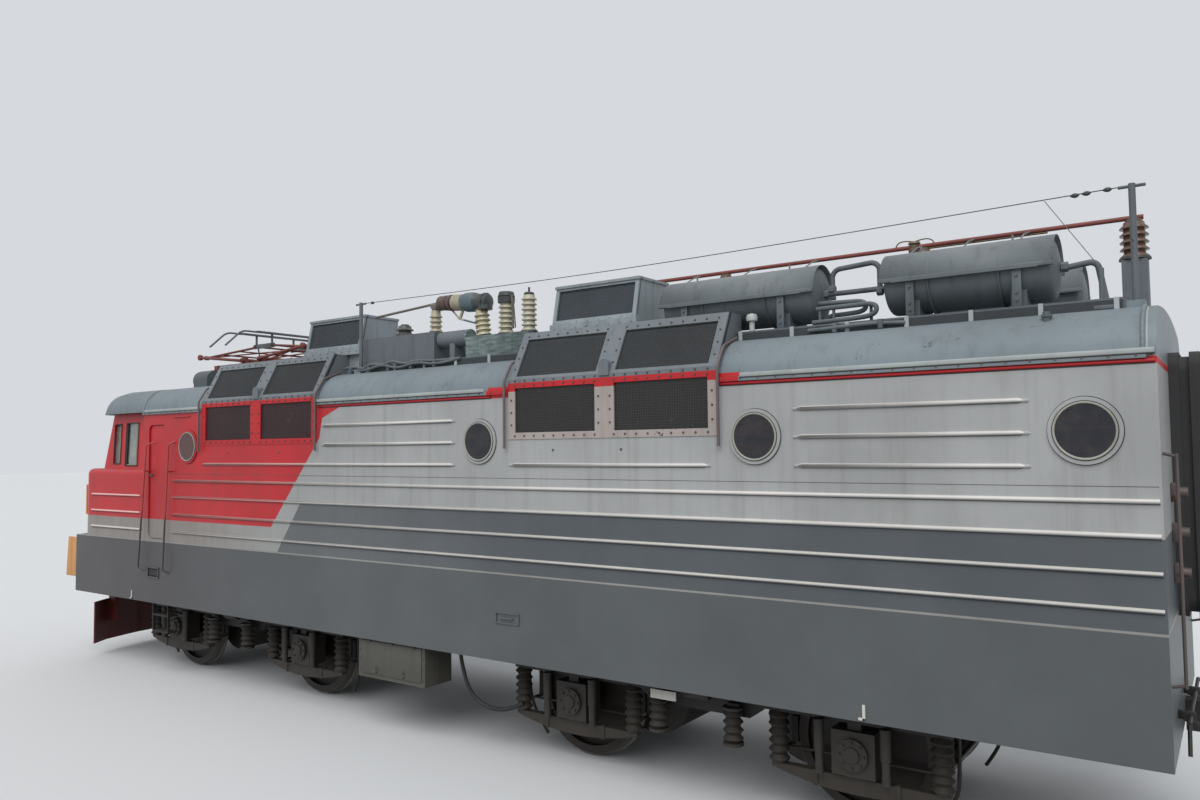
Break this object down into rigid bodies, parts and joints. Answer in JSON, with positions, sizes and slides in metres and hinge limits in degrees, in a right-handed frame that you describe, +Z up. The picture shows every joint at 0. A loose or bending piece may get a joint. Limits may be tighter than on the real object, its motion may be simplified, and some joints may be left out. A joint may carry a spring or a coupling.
{
  "type": "electric locomotive, single-cab freight section",
  "caption": "Single-cab section of a twin-unit freight electric locomotive on two-axle bogies, with ribbed sides, roof air intakes, reservoirs and a folded diamond pantograph.",
  "frame": {"origin": "mid length on the centre line, at the lowest point of the wheel flanges", "axes": "+X forward to the cab, +Y to the left side, +Z up"},
  "size_m": [16.42, 3.326, 5.2],
  "materials": {
    "grey_body": "weathered satin paint",
    "red_body": "weathered satin paint",
    "roof_grey": "weathered satin paint",
    "dark_grey": "sooty matt paint",
    "frame_dark": "greasy matt paint",
    "spring_brown": "brown with track dust",
    "steel_wheel": "worn tread, rusty web",
    "cast_coupler": "rough",
    "porcelain": "glazed",
    "bus_red": "faded paint",
    "window": "dusty glass",
    "rubber_black": "folded rubber",
    "cab_lining": "plain"
  },
  "bodies": {
    "root": {"underframe": "frame_dark", "main_frame": "frame_dark", "cross_bearers": "frame_dark", "door_hinges": "grey_body", "side_wall_left": "grey_body", "side_wall_right": "grey_body", "side_grilles": "red_body", "roof_panels": "roof_grey", "louvre_housings": "dark_grey", "cab_nose": "red_body", "cab_upper": "red_body", "cab_windows": "window", "cab_roof": "roof_grey", "rear_wall": "grey_body", "gangway_bellows": "rubber_black", "couplers": "cast_coupler", "pilot": "red_body", "equipment_boxes": "roof_grey", "transformer": "dark_grey", "cab_interior": "cab_lining", "panto_base": "bus_red", "roof_insulators": "porcelain", "vent_boxes": "dark_grey", "air_tanks": "dark_grey", "roof_fittings": "dark_grey", "main_switch": "porcelain", "hv_busbar": "bus_red", "air_pipes": "dark_grey", "roof_walkways": "dark_grey", "aerial_masts": "dark_grey", "lamps": "roof_grey", "handrails": "frame_dark", "drain_pipes": "dark_grey", "steps": "frame_dark", "portholes": "window"},
    "bogie_front": {"bogie_front": "frame_dark", "springs_front": "spring_brown", "brakes_front": "frame_dark", "motors_front": "frame_dark"},
    "bogie_rear": {"bogie_rear": "frame_dark", "springs_rear": "spring_brown", "brakes_rear": "frame_dark", "motors_rear": "frame_dark"},
    "wheelset_1": {"wheelset_1": "steel_wheel"},
    "wheelset_2": {"wheelset_2": "steel_wheel"},
    "wheelset_3": {"wheelset_3": "steel_wheel"},
    "wheelset_4": {"wheelset_4": "steel_wheel"},
    "panto_lower_front": {"panto_lower_front": "bus_red"},
    "panto_lower_rear": {"panto_lower_rear": "bus_red"},
    "panto_upper_front": {"panto_upper_front": "bus_red"},
    "panto_upper_rear": {"panto_upper_rear": "bus_red"},
    "panto_head": {"panto_head": "dark_grey"},
    "door_left": {"door_left": "red_body"},
    "door_right": {"door_right": "red_body"},
    "gangway_door": {"gangway_door": "grey_body"}
  },
  "joints": [
    {"name": "bogie_front_turn", "type": "hinge", "parent": "root", "child": "bogie_front", "pos_m": [3.75, 0, 1.2], "axis": [0, 0, 1], "range_deg": [-3, 3]},
    {"name": "bogie_rear_turn", "type": "hinge", "parent": "root", "child": "bogie_rear", "pos_m": [-3.75, 0, 1.2], "axis": [0, 0, 1], "range_deg": [-3, 3]},
    {"name": "wheelset_1_spin", "type": "hinge", "parent": "bogie_front", "child": "wheelset_1", "pos_m": [5.25, 0, 0.655], "axis": [0, 1, 0], "continuous": true},
    {"name": "wheelset_2_spin", "type": "hinge", "parent": "bogie_front", "child": "wheelset_2", "pos_m": [2.25, 0, 0.655], "axis": [0, 1, 0], "continuous": true},
    {"name": "wheelset_3_spin", "type": "hinge", "parent": "bogie_rear", "child": "wheelset_3", "pos_m": [-2.25, 0, 0.655], "axis": [0, 1, 0], "continuous": true},
    {"name": "wheelset_4_spin", "type": "hinge", "parent": "bogie_rear", "child": "wheelset_4", "pos_m": [-5.25, 0, 0.655], "axis": [0, 1, 0], "continuous": true},
    {"name": "panto_raise", "type": "hinge", "parent": "root", "child": "panto_lower_front", "pos_m": [4.57, 0, 4.7], "axis": [0, -1, 0], "range_deg": [0, 60]},
    {"name": "panto_rear_lower", "type": "hinge", "parent": "root", "child": "panto_lower_rear", "pos_m": [4.13, 0, 4.7], "axis": [0, 1, 0], "range_deg": [0, 60]},
    {"name": "panto_front_knuckle", "type": "hinge", "parent": "panto_lower_front", "child": "panto_upper_front", "pos_m": [5.67392, 0, 4.81603], "axis": [0, 1, 0], "range_deg": [0, 120]},
    {"name": "panto_rear_knuckle", "type": "hinge", "parent": "panto_lower_rear", "child": "panto_upper_rear", "pos_m": [3.02608, 0, 4.81603], "axis": [0, -1, 0], "range_deg": [0, 120]},
    {"name": "panto_head_level", "type": "hinge", "parent": "panto_upper_front", "child": "panto_head", "pos_m": [4.57, 0, 4.93205], "axis": [0, -1, 0], "range_deg": [0, 60]},
    {"name": "door_left_swing", "type": "hinge", "parent": "root", "child": "door_left", "pos_m": [4.942, 1.508, 2], "axis": [0, 0, -1], "range_deg": [0, 90]},
    {"name": "door_right_swing", "type": "hinge", "parent": "root", "child": "door_right", "pos_m": [4.942, -1.508, 2], "axis": [0, 0, 1], "range_deg": [0, 90]},
    {"name": "gangway_door_swing", "type": "hinge", "parent": "root", "child": "gangway_door", "pos_m": [-7.528, 0.328, 2], "axis": [0, 0, 1], "range_deg": [0, 90]}
  ],
  "couplings": [
    {"joint": "panto_rear_lower", "follows": "panto_raise", "ratio": 1},
    {"joint": "panto_front_knuckle", "follows": "panto_raise", "ratio": 2},
    {"joint": "panto_rear_knuckle", "follows": "panto_raise", "ratio": 2},
    {"joint": "panto_head_level", "follows": "panto_raise", "ratio": 1}
  ]
}
